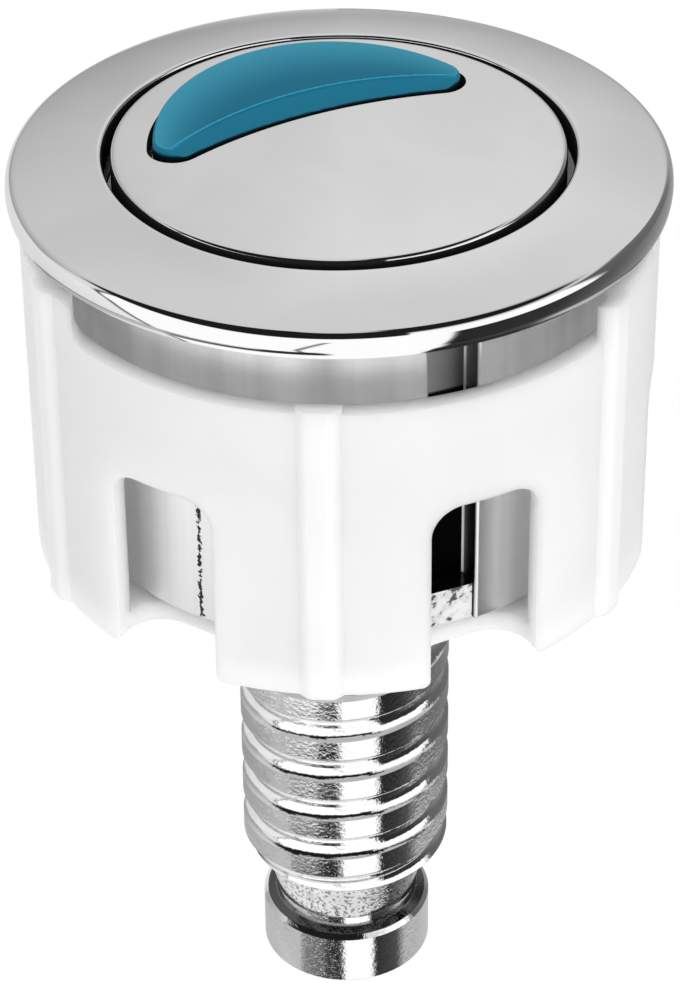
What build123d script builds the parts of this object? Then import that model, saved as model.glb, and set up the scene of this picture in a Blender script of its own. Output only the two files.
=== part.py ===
"""Push button cistern actuator: a dual flush button for a cistern lid, held by a nut under the lid.

Lengths are in millimetres, angles in degrees. The bezel's underside, which sits on the lid, is z = 0.
The buttons face +Z, the threaded stem hangs along -Z, and the half flush button lies on the +Y side.
"""
import os
from math import cos, radians, sin, sqrt, tan

from build123d import *

# Clearances
SLIP = 0.1  # between pieces that stay together
RUN = 0.3  # between pieces that slide past each other
STOP = 0.15  # left open at an end stop
SPARE = 2.55  # room left below the full flush slider at the end of its travel

# Travels
FULL_TRAVEL = 7.0
HALF_TRAVEL = 5.0

# Full flush button
BUTTON_R = 16.4
BUTTON_EDGE = 0.45
BUTTON_CROWN = 0.2
BUTTON_PROUD = 0.2  # above the bezel's lip
CAP_WALL = 1.4
CAP_SKIRT = 1.0
CAP_IN = BUTTON_R - CAP_SKIRT

# Half flush button
CRESCENT_INSET = 3.1
CRESCENT_R = BUTTON_R - CRESCENT_INSET
CRESCENT_FRONT = 4.73  # from the axis to the middle of the hollow front edge
CRESCENT_HOLLOW_R = 35.65
CRESCENT_TIP = 1.55
CRESCENT_GAP = 0.45
CRESCENT_RAISE = 1.5  # back edge above the full flush button's edge
CRESCENT_CROWN_R = 200.0
CRESCENT_APEX = 15.0  # from the axis to where the crown would be level
CRESCENT_EDGE = 0.4
CRESCENT_FRONT_RAISE = 0.15
CRESCENT_SLOPE = 40.0
CRESCENT_RIDGE = 0.7  # rounding of the ridge above the front slope
CRESCENT_WALL = 1.2
CRESCENT_BOSS = 1.4

# Push rods
PIN_R = 2.4
TUBE_WALL = 1.5
TUBE_IN = PIN_R + RUN
TUBE_R = TUBE_IN + TUBE_WALL
ROD_INSET = 0.6  # above the collar's end face

# Bezel ring
BUTTON_GAP = 0.6
LIP_R = BUTTON_R + BUTTON_GAP
LIP_W = 3.0
BARREL_R = LIP_R + LIP_W
BEZEL_OVERHANG = 4.0
BEZEL_R = BARREL_R + BEZEL_OVERHANG
RIM_H = 1.85
RIM_WALL = 1.4
RIM_ROUND = 0.6
RIM_BULGE = 0.08
BEZEL_RISE = 1.0
BEZEL_CROWN = 0.12
LIP_TOP = RIM_H + BEZEL_RISE
LIP_ROUND = 0.3
FLANGE_H = 1.0
SPIGOT = 0.4
LIP_BOTTOM = FLANGE_H - SPIGOT

# Barrel
BARREL_WALL = 1.4
BARREL_FOOT = 0.5
BORE_R = BARREL_R - BARREL_WALL
FLANGE_R = BEZEL_R - RIM_WALL - SLIP
CHANNELS = 3
CHANNEL_TURN = -94.4  # from +X to the channel at the front
CHANNEL_W = 3.7
CHANNEL_DEPTH = 2.1
CHANNEL_EDGE = 0.25
RAIL_WALL = 1.2
RAIL_W = CHANNEL_W + 2 * RAIL_WALL
RAIL_R = BARREL_R - CHANNEL_DEPTH - RAIL_WALL

# Half flush slider
CAP_EDGE_Z = LIP_TOP + BUTTON_PROUD
CAP_UNDER = CAP_EDGE_Z - CAP_WALL
SLIDER_MARGIN = 0.5
SLIDER_IN = CRESCENT_R + SLIDER_MARGIN
PLATE_R = SLIDER_IN - RUN
PLATE_T = 1.6
PLATE_TOP = CAP_UNDER - STOP
PLATE_BOTTOM = PLATE_TOP - PLATE_T
HUB_WALL = 1.8
HUB_LEN = 3.3
HUB_SPARE = 0.4
PIN_TOP = PLATE_BOTTOM + PLATE_T / 3

# Full flush slider
SLIDER_WALL = 1.5
SLIDER_R = SLIDER_IN + SLIDER_WALL
SLIDER_FLANGE_R = BORE_R - RUN
SLIDER_FLANGE_T = 1.5
SLIDER_TOP = LIP_BOTTOM - STOP
SLIDER_NECK = 0.8
SLIDER_FLOOR_T = 1.5
SLIDER_FLOOR = PLATE_BOTTOM - HUB_LEN - HALF_TRAVEL - HUB_SPARE
SLIDER_UNDER = SLIDER_FLOOR - SLIDER_FLOOR_T
SOCKET_WALL = 1.8
SOCKET_R = TUBE_R + SOCKET_WALL
SOCKET_LEN = 3.5

# Return springs
SPRING_AIR = 2.75
SPRING_SEAT_H = 1.2
FULL_WIRE_R = 0.45
FULL_SPRING_R = SOCKET_R + SPRING_AIR + FULL_WIRE_R
FULL_COILS = 6
HALF_WIRE_R = 0.35
HALF_SPRING_R = PIN_R + HUB_WALL + SPRING_AIR + HALF_WIRE_R
HALF_COILS = 5

# Stem base and its thread
BASE_T = 2.0
BASE_TOP = SLIDER_UNDER - SOCKET_LEN - FULL_TRAVEL - SPARE - SPRING_SEAT_H
BARREL_END = BASE_TOP - BASE_T
LUG_H = 1.7
LUG_INSET = 0.4
LUG_NOSE = 1.2  # above the base disc, in front of the rail's foot
STEM_BORE = TUBE_R + RUN
WAIST_WALL = 1.25
WAIST_R = STEM_BORE + WAIST_WALL
COLLAR_STEP = 1.0
COLLAR_R = WAIST_R + COLLAR_STEP
ROOT_STEP = 1.9
THREAD_ROOT_R = WAIST_R + ROOT_STEP
THREAD_DEPTH = 0.6
THREAD_CREST = 0.22  # half the crest, as a share of the pitch
THREAD_FOOT = 0.46  # half the ridge's foot, as a share of the pitch
THREAD_SINK = 0.3  # of the ridge's foot into the stem
THREAD_CREST_R = THREAD_ROOT_R + THREAD_DEPTH
THREAD_PITCH = 3.94
THREAD_LEN = 32.4
THREAD_TURN = -72.2
SHOULDER_LEN = 2.4
NECK_STEP = 0.75
TAPER_LEN = 6.2
WAIST_LEN = 1.2
COLLAR_LEN = 4.95
COLLAR_ROUND = 0.35
COLLAR_BEVEL = 0.3
THREAD_END = BARREL_END - THREAD_LEN
WAIST_Z = THREAD_END - TAPER_LEN
COLLAR_TOP = WAIST_Z - WAIST_LEN
STEM_END = COLLAR_TOP - COLLAR_LEN

# Clamp nut
NUT_GAP = 1.8
NUT_WALL = 1.4
NUT_IN = BARREL_R + NUT_GAP
NUT_R = NUT_IN + NUT_WALL
NUT_FLOOR_GAP = 0.5
NUT_FLOOR_T = 1.8
NUT_FLOOR = BARREL_END - NUT_FLOOR_GAP
NUT_BOTTOM = NUT_FLOOR - NUT_FLOOR_T
NUT_TURN = -31.2
NUT_BORE = THREAD_CREST_R + RUN
NUT_HUB_WALL = 2.6
NUT_HUB_R = NUT_BORE + NUT_HUB_WALL
NUT_HUB_DROP = 4.8
LID_GAP = 2.3  # from the bezel to the lugs, with the nut run fully up
LUG_DROP = 2.7  # from the lugs' tops to the low rim
LUG_ANGLE = 53.5  # from the middle of the low rim to the foot of a lug
LUG_TURN = 3.6  # from the front rib to the middle of the low rim
LUG_FOOT = 0.9
LUG_TOP = -LID_GAP
LOW_RIM = LUG_TOP - LUG_DROP
RIBS = 6
RIB_W = 3.2
RIB_TOP_W = 1.8
RIB_H = 0.6
RIB_ROUND = 0.8
RIB_STEP = 0.5
WINDOW_W = 8.6
WINDOW_H = 15.3
WINDOW_TOP = NUT_BOTTOM + WINDOW_H
WINDOW_ROUND = 2.4
NOTCH_REACH = 1.2  # of the windows into the floor, inside the barrel's wall
NOTCH_R = BARREL_R - NOTCH_REACH
NOTCH_ROUND = 2.8
LEG_ROUND = 0.6


def turned(*lines):
    """A solid turned about the Z axis from lines drawn as radius and height."""
    outline = lines[0]
    for line in lines[1:]:
        outline += line
    return revolve(Plane.XZ * make_face(outline), Axis.Z)


def tube(outer, inner, low, high):
    """A plain tube on the Z axis."""
    ring = Circle(outer) - Circle(inner)
    return Pos(0, 0, low) * extrude(ring, high - low)


def around(shape, count, start=0.0):
    """Copies of a shape spaced evenly about the Z axis."""
    return [Rot(0, 0, start + 360 * i / count) * shape for i in range(count)]


def crescent(grow=0.0):
    """The half flush button's outline: a disc with a hollow front edge and rounded tips."""
    hollow = Pos(0, CRESCENT_FRONT - CRESCENT_HOLLOW_R) * Circle(CRESCENT_HOLLOW_R - grow)
    lune = Circle(CRESCENT_R + grow) - hollow
    return fillet(lune.vertices(), CRESCENT_TIP + grow)


def coil(mean_r, wire_r, turns, low, high):
    """A compression spring of round wire standing between two heights."""
    height = high - low - 2 * wire_r
    path = Helix(height / turns, height, mean_r)
    wire = Plane(origin=path @ 0, x_dir=(1, 0, 0), z_dir=path % 0) * Circle(wire_r)
    return Pos(0, 0, low + wire_r) * sweep(wire, path, is_frenet=True)


def bezel_ring():
    """Polished cover ring: upright rim, shallow domed top and a rounded lip beside the button."""
    recess_r = BEZEL_R - RIM_WALL
    shoulder = BEZEL_R - RIM_ROUND
    lip = LIP_R + LIP_ROUND
    bend = 1 - cos(radians(45))
    wall_r = BEZEL_R - RIM_BULGE
    wall_top = RIM_H - RIM_ROUND
    foot = Polyline((recess_r, FLANGE_H), (recess_r, 0), (wall_r, 0))
    rim = ThreePointArc((wall_r, 0), (BEZEL_R, wall_top / 2), (wall_r, wall_top))
    rim_edge = TangentArc((wall_r, wall_top), (shoulder, RIM_H), tangent=rim % 1)
    dome = ThreePointArc(
        (shoulder, RIM_H), ((shoulder + lip) / 2, (RIM_H + LIP_TOP) / 2 + BEZEL_CROWN), (lip, LIP_TOP)
    )
    lip_edge = ThreePointArc(
        (lip, LIP_TOP),
        (LIP_R + bend * LIP_ROUND, LIP_TOP - bend * LIP_ROUND),
        (LIP_R, LIP_TOP - LIP_ROUND),
    )
    spigot = Polyline(
        (LIP_R, LIP_TOP - LIP_ROUND),
        (LIP_R, LIP_BOTTOM),
        (BORE_R - SLIP, LIP_BOTTOM),
        (BORE_R - SLIP, FLANGE_H),
        (recess_r, FLANGE_H),
    )
    return turned(foot, rim, rim_edge, dome, lip_edge, spigot)


def barrel():
    """Satin tube through the lid: flange, and channels whose backs stand inside as guide rails."""
    shell = tube(BARREL_R, BORE_R, BARREL_END, 0)
    foot = shell.edges().filter_by(GeomType.CIRCLE).group_by(Axis.Z)[0].sort_by(SortBy.RADIUS)[-1]
    shell = fillet(foot, BARREL_FOOT)
    flange = tube(FLANGE_R, BORE_R, 0, FLANGE_H)
    rail = Pos(BORE_R, 0, BASE_TOP) * Box(
        2 * (BORE_R - RAIL_R), RAIL_W, -BASE_TOP, align=(Align.CENTER, Align.CENTER, Align.MIN)
    )
    inside = Pos(0, 0, BASE_TOP) * extrude(Circle(BORE_R + BARREL_WALL / 2), -BASE_TOP)
    channel = Pos(BARREL_R - CHANNEL_DEPTH, 0, BARREL_END) * Box(
        2 * CHANNEL_DEPTH, CHANNEL_W, -BARREL_END, align=(Align.MIN, Align.CENTER, Align.MIN)
    )
    body = shell + around(rail & inside, CHANNELS, CHANNEL_TURN)
    body = body - around(channel, CHANNELS, CHANNEL_TURN)
    upright = body.edges().filter_by(Axis.Z)
    mouths = [e for e in upright if abs((e @ 0.5 - Vector(0, 0, (e @ 0.5).Z)).length - BARREL_R) < SLIP]
    return fillet(mouths, CHANNEL_EDGE) + flange


def thread_ridge():
    """One right hand ridge with a flat crest and hollow flanks, run out past the stem's taper."""
    top = BARREL_END - THREAD_DEPTH
    length = top - WAIST_Z
    path = Helix(THREAD_PITCH, length, THREAD_ROOT_R)
    foot = THREAD_FOOT * THREAD_PITCH
    crest = THREAD_CREST * THREAD_PITCH
    upper = TangentArc((0, foot), (THREAD_DEPTH, crest), tangent=(0, -1))
    lower = TangentArc((0, -foot), (THREAD_DEPTH, -crest), tangent=(0, 1))
    inside = Polyline((0, -foot), (-THREAD_SINK, -foot), (-THREAD_SINK, foot), (0, foot))
    outline = upper + Line((THREAD_DEPTH, crest), (THREAD_DEPTH, -crest)) + lower + inside
    start = Plane(origin=path @ 0, x_dir=(1, 0, 0), z_dir=path % 0)
    ridge = sweep(start * make_face(outline), path, is_frenet=True)
    return Pos(0, 0, WAIST_Z) * Rot(0, 0, THREAD_TURN) * ridge


def stem_envelope(radius, top):
    """The stem's turned outline down to the collar, for a straight part of the given radius."""
    neck_r = WAIST_R + NECK_STEP
    neck_z = THREAD_END - SHOULDER_LEN
    side = Polyline((0, top), (radius, top), (radius, THREAD_END))
    shoulder = TangentArc((radius, THREAD_END), (neck_r, neck_z), tangent=(0, -1))
    tail = Polyline(
        (neck_r, neck_z),
        (WAIST_R, WAIST_Z),
        (WAIST_R, COLLAR_TOP + COLLAR_BEVEL),
        (COLLAR_R - COLLAR_ROUND, COLLAR_TOP),
        (COLLAR_R, COLLAR_TOP - COLLAR_ROUND),
        (COLLAR_R, STEM_END + COLLAR_ROUND),
        (COLLAR_R - COLLAR_ROUND, STEM_END),
        (0, STEM_END),
        (0, top),
    )
    return turned(side, shoulder, tail)


def stem_base():
    """Base disc snapped into the barrel's foot, with the hollow threaded stem hanging from it."""
    disc = Pos(0, 0, BARREL_END) * extrude(Circle(BORE_R - SLIP), BASE_T)
    lug = Pos(RAIL_R, 0, BASE_TOP - LUG_H) * Box(
        BARREL_R - LUG_INSET - RAIL_R,
        CHANNEL_W - 2 * SLIP,
        LUG_H,
        align=(Align.MIN, Align.CENTER, Align.MIN),
    )
    nose_r = BARREL_R - CHANNEL_DEPTH + SLIP
    nose = Pos(nose_r, 0, BASE_TOP - LUG_H) * Box(
        BARREL_R - LUG_INSET - nose_r,
        CHANNEL_W - 2 * SLIP,
        LUG_H + LUG_NOSE,
        align=(Align.MIN, Align.CENTER, Align.MIN),
    )
    seat_r = FULL_SPRING_R - FULL_WIRE_R - RUN
    seat = tube(seat_r, STEM_BORE, BASE_TOP, BASE_TOP + SPRING_SEAT_H)
    top = BARREL_END
    core = stem_envelope(THREAD_ROOT_R, top)
    ridge = thread_ridge() & stem_envelope(THREAD_CREST_R + SLIP, top)
    body = core + ridge + disc + around(lug + nose, CHANNELS, CHANNEL_TURN) + seat
    bore_len = BASE_TOP + SPRING_SEAT_H - STEM_END + 2
    return body - Pos(0, 0, STEM_END - 1) * extrude(Circle(STEM_BORE), bore_len)


def nut_lug_gap():
    """Cutter that lowers the nut's rim at front and back, with rounded feet beside the lugs."""
    half = NUT_R * sin(radians(LUG_ANGLE))
    depth = 2 * LUG_DROP + 2 * LUG_FOOT
    cut = Pos(0, LOW_RIM + depth / 2) * RectangleRounded(2 * half, depth, LUG_FOOT)
    return Rot(0, 0, LUG_TURN) * extrude(Plane.XZ * cut, 2 * NUT_R, both=True)


def nut_window():
    """Cutter for one window: round topped in the wall, open below, with a rounded notch in the floor."""
    drop = WINDOW_TOP - NUT_BOTTOM + 2 * WINDOW_ROUND
    face = Pos(0, WINDOW_TOP - drop / 2) * RectangleRounded(WINDOW_W, drop, WINDOW_ROUND)
    slot = Pos(0, -NOTCH_R, 0) * extrude(Plane.XZ * face, 2 * NUT_R)
    plan = Pos(0, -NOTCH_R - NUT_R) * RectangleRounded(WINDOW_W, 2 * NUT_R, NOTCH_ROUND)
    return slot & Pos(0, 0, NUT_BOTTOM - 1) * extrude(plan, WINDOW_TOP - NUT_BOTTOM + 2)


def nut_rib(top):
    """One shallow grip rib with sloping sides, standing on the nut's wall."""
    sunk = NUT_R - NUT_WALL / 2
    plan = Polyline(
        (-RIB_W / 2, -sunk),
        (-RIB_W / 2, -NUT_R * cos(RIB_W / 2 / NUT_R)),
        (-RIB_TOP_W / 2, -NUT_R - RIB_H),
        (RIB_TOP_W / 2, -NUT_R - RIB_H),
        (RIB_W / 2, -NUT_R * cos(RIB_W / 2 / NUT_R)),
        (RIB_W / 2, -sunk),
        close=True,
    )
    face = make_face(plan)
    face = fillet(face.vertices().group_by(Axis.Y)[0], RIB_ROUND)
    return Pos(0, 0, NUT_BOTTOM) * extrude(face, top - NUT_BOTTOM)


def leg_corners(cup):
    """The level edges along the windows' sides, at the bottoms of the nut's legs."""
    level = cup.edges().filter_by(GeomType.LINE).filter_by_position(Axis.Z, NUT_BOTTOM, NUT_BOTTOM)
    axis = Vector(0, 0, NUT_BOTTOM)
    return [e for e in level if abs((e @ 0 - axis).length - (e @ 1 - axis).length) > NUT_WALL / 2]


def clamp_nut():
    """Castellated cup nut: two tall lugs, six windows, six grip ribs, and a hub that runs on the stem."""
    cup = tube(NUT_R, NUT_IN, NUT_BOTTOM, LUG_TOP)
    cup += tube(NUT_R - NUT_WALL / 2, NUT_BORE, NUT_BOTTOM, NUT_FLOOR)
    cup = cup - nut_lug_gap()
    pitch = 360 / RIBS
    low = [i for i in range(RIBS) if abs(cos(radians(i * pitch))) > cos(radians(LUG_ANGLE))]
    for i in range(RIBS):
        rib_top = LOW_RIM + RIB_STEP if i in low else LUG_TOP
        cup += Rot(0, 0, i * pitch) * nut_rib(rib_top)
    cup = cup - around(nut_window(), RIBS, pitch / 2)
    cup = fillet(leg_corners(cup), LEG_ROUND)
    hub = tube(NUT_HUB_R, NUT_BORE, NUT_BOTTOM - NUT_HUB_DROP, NUT_FLOOR)
    return Rot(0, 0, NUT_TURN) * (cup + hub)


def full_cap():
    """Polished full flush button: domed disc with a skirt and the opening for the half flush button."""
    bend = 1 - cos(radians(45))
    side = Polyline(
        (0, CAP_UNDER),
        (CAP_IN, CAP_UNDER),
        (CAP_IN, SLIDER_TOP),
        (BUTTON_R, SLIDER_TOP),
        (BUTTON_R, CAP_EDGE_Z - BUTTON_EDGE),
    )
    edge = ThreePointArc(
        (BUTTON_R, CAP_EDGE_Z - BUTTON_EDGE),
        (BUTTON_R - bend * BUTTON_EDGE, CAP_EDGE_Z - bend * BUTTON_EDGE),
        (BUTTON_R - BUTTON_EDGE, CAP_EDGE_Z),
    )
    crown = CAP_EDGE_Z + BUTTON_CROWN
    half = (BUTTON_R - BUTTON_EDGE) / 2
    dome = ThreePointArc(
        (BUTTON_R - BUTTON_EDGE, CAP_EDGE_Z), (half, CAP_EDGE_Z + 0.75 * BUTTON_CROWN), (0, crown)
    )
    disc = turned(side, edge, dome, Line((0, crown), (0, CAP_UNDER)))
    opening = Pos(0, 0, CAP_UNDER - 1) * extrude(crescent(CRESCENT_GAP), CAP_WALL + BUTTON_CROWN + 2)
    return disc - opening


def full_carrier():
    """White sliding cup under the full flush button, with a notched flange and a rod socket."""
    half = Polyline(
        (TUBE_IN, SLIDER_FLOOR),
        (SLIDER_IN, SLIDER_FLOOR),
        (SLIDER_IN, SLIDER_TOP + SLIDER_NECK),
        (CAP_IN - SLIP, SLIDER_TOP + SLIDER_NECK),
        (CAP_IN - SLIP, SLIDER_TOP),
        (SLIDER_FLANGE_R, SLIDER_TOP),
        (SLIDER_FLANGE_R, SLIDER_TOP - SLIDER_FLANGE_T),
        (SLIDER_R, SLIDER_TOP - SLIDER_FLANGE_T),
        (SLIDER_R, SLIDER_UNDER),
        (SOCKET_R, SLIDER_UNDER),
        (SOCKET_R, SLIDER_UNDER - SOCKET_LEN),
        (TUBE_R + SLIP / 2, SLIDER_UNDER - SOCKET_LEN),
        (TUBE_R + SLIP / 2, SLIDER_UNDER),
        (TUBE_IN, SLIDER_UNDER),
        close=True,
    )
    notch = Pos(RAIL_R - RUN, 0, SLIDER_TOP) * Box(
        BARREL_R, RAIL_W + 2 * RUN, 2 * SLIDER_FLANGE_T, align=(Align.MIN, Align.CENTER, Align.CENTER)
    )
    return turned(half) - around(notch, CHANNELS, CHANNEL_TURN)


def full_push_tube():
    """Tube that the full flush button drives out of the stem's end."""
    rod = tube(TUBE_R, TUBE_IN, STEM_END + ROD_INSET, SLIDER_UNDER)
    foot = rod.edges().filter_by(GeomType.CIRCLE).group_by(Axis.Z)[0].sort_by(SortBy.RADIUS)[-1]
    return chamfer(foot, 0.5)


def full_return_spring():
    """Spring between the base disc and the full flush slider."""
    return coil(FULL_SPRING_R, FULL_WIRE_R, FULL_COILS, BASE_TOP, SLIDER_UNDER)


def crescent_slope():
    """A turned block whose conical inside slopes the crescent's top down to its front edge."""
    rise = tan(radians(CRESCENT_SLOPE))
    near = CRESCENT_HOLLOW_R - 1
    far = CRESCENT_HOLLOW_R + 2 * CRESCENT_R
    low = CAP_EDGE_Z + CRESCENT_FRONT_RAISE
    outline = Polyline(
        (near, PLATE_TOP - 1),
        (near, low - rise),
        (near + 6, low + 5 * rise),
        (far, low + 5 * rise),
        (far, PLATE_TOP - 1),
        close=True,
    )
    return Pos(0, CRESCENT_FRONT - CRESCENT_HOLLOW_R) * turned(outline)


def half_button():
    """Blue crescent button: a hollow cap with a crowned top and well rounded edges."""
    crown = CAP_EDGE_Z + CRESCENT_RAISE
    middle = (CRESCENT_FRONT + CRESCENT_R) / 2
    block = Pos(0, 0, PLATE_TOP) * extrude(crescent(), crown + 1 - PLATE_TOP)
    sink = sqrt(CRESCENT_CROWN_R**2 - (CRESCENT_APEX - CRESCENT_R) ** 2)
    ball = Pos(0, CRESCENT_APEX, crown - sink) * Rot(90, 0, 0) * Sphere(CRESCENT_CROWN_R)
    block = block & ball & crescent_slope()
    dome = block.faces().filter_by(GeomType.SPHERE)[0]
    ridge = dome.edges().sort_by(SortBy.LENGTH)[-2]
    block = fillet(ridge, CRESCENT_RIDGE)
    raised = block.edges().filter_by_position(Axis.Z, CAP_EDGE_Z, crown + CRESCENT_EDGE)
    rim = raised.filter_by_position(Axis.Y, middle, 2 * CRESCENT_R).sort_by(SortBy.LENGTH)[-1]
    block = fillet(rim, CRESCENT_EDGE)
    return block - Pos(0, 0, PLATE_TOP) * extrude(crescent(-CRESCENT_WALL), CRESCENT_BOSS)


def half_carrier():
    """White piston plate with a boss that fills the crescent and a blind hub for the half flush pin."""
    hub_r = PIN_R + HUB_WALL
    low = PLATE_BOTTOM - HUB_LEN
    half = Polyline(
        (0, PLATE_TOP),
        (PLATE_R, PLATE_TOP),
        (PLATE_R, PLATE_BOTTOM),
        (hub_r, PLATE_BOTTOM),
        (hub_r, low),
        (PIN_R + SLIP / 2, low),
        (PIN_R + SLIP / 2, PIN_TOP),
        (0, PIN_TOP),
        close=True,
    )
    boss = Pos(0, 0, PLATE_TOP) * extrude(crescent(-CRESCENT_WALL - SLIP), CRESCENT_BOSS - SLIP)
    return turned(half) + boss


def half_push_pin():
    """Pin that the half flush button drives through the tube."""
    low = STEM_END + ROD_INSET
    pin = Pos(0, 0, low) * extrude(Circle(PIN_R), PIN_TOP - low)
    foot = pin.edges().filter_by(GeomType.CIRCLE).sort_by(Axis.Z)[0]
    return chamfer(foot, 0.5)


def half_return_spring():
    """Spring between the full flush slider's floor and the half flush plate."""
    return coil(HALF_SPRING_R, HALF_WIRE_R, HALF_COILS, SLIDER_FLOOR, PLATE_BOTTOM)


PIECES = [
    bezel_ring,
    barrel,
    stem_base,
    clamp_nut,
    full_cap,
    full_carrier,
    full_push_tube,
    full_return_spring,
    half_button,
    half_carrier,
    half_push_pin,
    half_return_spring,
]

os.makedirs("parts", exist_ok=True)
for piece in PIECES:
    solid = piece()
    export_step(solid, f"parts/{piece.__name__}.step")
    print(piece.__name__, round(solid.volume, 1), solid.bounding_box())
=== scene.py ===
# %% [markdown]
# # A push button for a cistern lid
# The part is a round dual flush button. A plated bezel sits on the lid, a satin barrel goes down through the lid's
# hole, a white nut clamps the lid from below, and a plated hollow stem leads the push rods to the flush valve.
# The solids come ready made, in metres, so this lesson gives them a camera, a studio and their finishes.

# %% Load the solids
import math
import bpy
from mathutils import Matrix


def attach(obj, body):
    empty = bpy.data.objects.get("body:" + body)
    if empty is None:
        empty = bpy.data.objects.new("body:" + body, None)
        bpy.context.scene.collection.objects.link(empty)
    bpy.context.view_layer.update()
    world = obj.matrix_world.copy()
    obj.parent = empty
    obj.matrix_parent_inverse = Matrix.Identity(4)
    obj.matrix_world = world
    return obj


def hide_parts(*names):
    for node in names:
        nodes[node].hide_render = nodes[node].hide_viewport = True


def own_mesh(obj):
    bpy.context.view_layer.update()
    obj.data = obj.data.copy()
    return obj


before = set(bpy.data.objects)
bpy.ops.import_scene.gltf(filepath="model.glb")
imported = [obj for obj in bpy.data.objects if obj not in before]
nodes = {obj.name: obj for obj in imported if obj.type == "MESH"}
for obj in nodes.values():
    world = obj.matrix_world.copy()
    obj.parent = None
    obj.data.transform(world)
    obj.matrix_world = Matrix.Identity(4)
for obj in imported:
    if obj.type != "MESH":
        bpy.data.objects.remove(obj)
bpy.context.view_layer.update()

from types import SimpleNamespace

import bpy
from mathutils import Matrix, Vector

MM_PER_M = 1000


scene = bpy.context.scene
scene.view_settings.view_transform = "Standard"
for leftover in ("Cube", "Light", "Camera"):
    start_up = bpy.data.objects.get(leftover)
    if start_up is not None:
        bpy.data.objects.remove(start_up)
print("solids:", ", ".join(sorted(nodes)))

# %% [markdown]
# ## Camera
# The button is seen from above, a little from its left, through a long lens close by. A long lens keeps the round
# rims close to true ellipses. The place and lens were worked out from the rims' ellipses, so they are set as numbers,
# and a small roll and shift finish the framing.

# %% Camera
FRAME_W, FRAME_H = 680, 984
CAMERA_TURN = math.radians(-27.3)
CAMERA_OUT = 0.2287
CAMERA_UP = 0.13057
CAMERA_DIP = math.radians(34.61)
CAMERA_ROLL = -0.01027
SENSOR_MM = 36
LENS_PIXELS = 3643
CENTRE_X = 342.35
NEAREST = 0.01

lens = bpy.data.cameras.new("button_camera")
lens.sensor_width = SENSOR_MM
lens.lens = SENSOR_MM * LENS_PIXELS / FRAME_H
lens.shift_x = (FRAME_W / 2 - CENTRE_X) / FRAME_H
lens.clip_start = NEAREST
camera = bpy.data.objects.new("button_camera", lens)
camera_place = Vector((CAMERA_OUT * math.sin(CAMERA_TURN), -CAMERA_OUT * math.cos(CAMERA_TURN), CAMERA_UP))
aim = Matrix.Rotation(CAMERA_TURN, 4, "Z") @ Matrix.Rotation(math.pi / 2 - CAMERA_DIP, 4, "X")
camera.matrix_world = Matrix.Translation(camera_place) @ aim @ Matrix.Rotation(CAMERA_ROLL, 4, "Z")
scene.collection.objects.link(camera)
scene.camera = camera
print("camera at", [round(x, 4) for x in camera_place], "lens", round(lens.lens, 1), "mm")

# %% [markdown]
# ## Node helpers
# Every finish here, and the room too, is a graph of small nodes. Wired one by one, such a graph takes pages, so a few
# helpers do it: they make a node, do a sum, make a smooth step, a band or a ramp of greys, read a noise and mix two
# colours. Each gives back the socket that the next one takes.

# %% Node helpers
def add_node(tree, kind, inputs=None, **settings):
    """Makes a node of this kind, sets its properties, and sets or links the inputs given by number or name."""
    node = tree.nodes.new(kind)
    for key, value in settings.items():
        setattr(node, key, value)
    for key, value in (inputs or {}).items():
        if isinstance(value, bpy.types.NodeSocket):
            tree.links.new(value, node.inputs[key])
        else:
            node.inputs[key].default_value = value
    return node


def maths(tree, operation, first, second=0.0, third=0.0):
    """One Math node; each operand is a number or a socket."""
    return add_node(tree, "ShaderNodeMath", operation=operation, inputs={0: first, 1: second, 2: third}).outputs[0]


def spread(tree, value, low, high, to_low=0.0, to_high=1.0):
    """A smooth step from one range to another; low may lie above high, for a step down."""
    node = add_node(tree, "ShaderNodeMapRange", interpolation_type="SMOOTHSTEP",
                    inputs={0: value, 1: low, 2: high, 3: to_low, 4: to_high})
    return node.outputs[0]


def band(tree, value, one_side, other_side):
    """A mask between two smooth steps; each step goes from the place where it is 0 to the place where it is 1."""
    return maths(tree, "MULTIPLY", spread(tree, value, *one_side), spread(tree, value, *other_side))


def grey(level):
    """A plain grey, as a colour."""
    return (level, level, level, 1)


def tones(tree, value, stops):
    """A ramp of greys; stops are pairs of place and grey."""
    node = add_node(tree, "ShaderNodeValToRGB", inputs={0: value})
    ramp = node.color_ramp
    while len(ramp.elements) < len(stops):
        ramp.elements.new(1.0)
    for element, (place, level) in zip(ramp.elements, stops):
        element.position = place
        element.color = grey(level)
    return node.outputs[0]


def noise(tree, place, scale, detail, **more):
    """A noise read at a place; more sets its roughness or distortion."""
    inputs = {"Vector": place, "Scale": scale, "Detail": detail, **more}
    return add_node(tree, "ShaderNodeTexNoise", inputs=inputs).outputs[0]


def blend_colours(tree, share, first, second, blend_type="MIX"):
    """A mix of two colours by a share."""
    node = add_node(tree, "ShaderNodeMix", data_type="RGBA", blend_type=blend_type,
                    inputs={0: share, 6: first, 7: second})
    return node.outputs[2]


print("node helpers ready")

# %% [markdown]
# ## Studio
# Polished metal has hardly a colour of its own: it shows the room. Real panels round the button could make that room,
# but ramps of grey by bearing and height are lighter and can be tuned one by one. The room is a white studio with a
# grey left side, a dark right side and a dark panel high up in front, so that the rims get their black lines. Lower
# down it has rings of its own for the stem and the collar. The camera sees plain white behind the button. The same
# room is always in the same place, whatever side the camera looks from.

# %% Room walls
GROUND_STEP = (-0.74, -0.71)
COLLAR_STEP = (-0.645, -0.63)
RIM_STEP = (-0.605, -0.59)
HORIZON_STEP = (-0.02, 0.05)
LEAN_DEG = 15
CREASE_DEG, CREASE_HEIGHT, CREASE_BEND = -15, -0.52, 0.06

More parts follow.
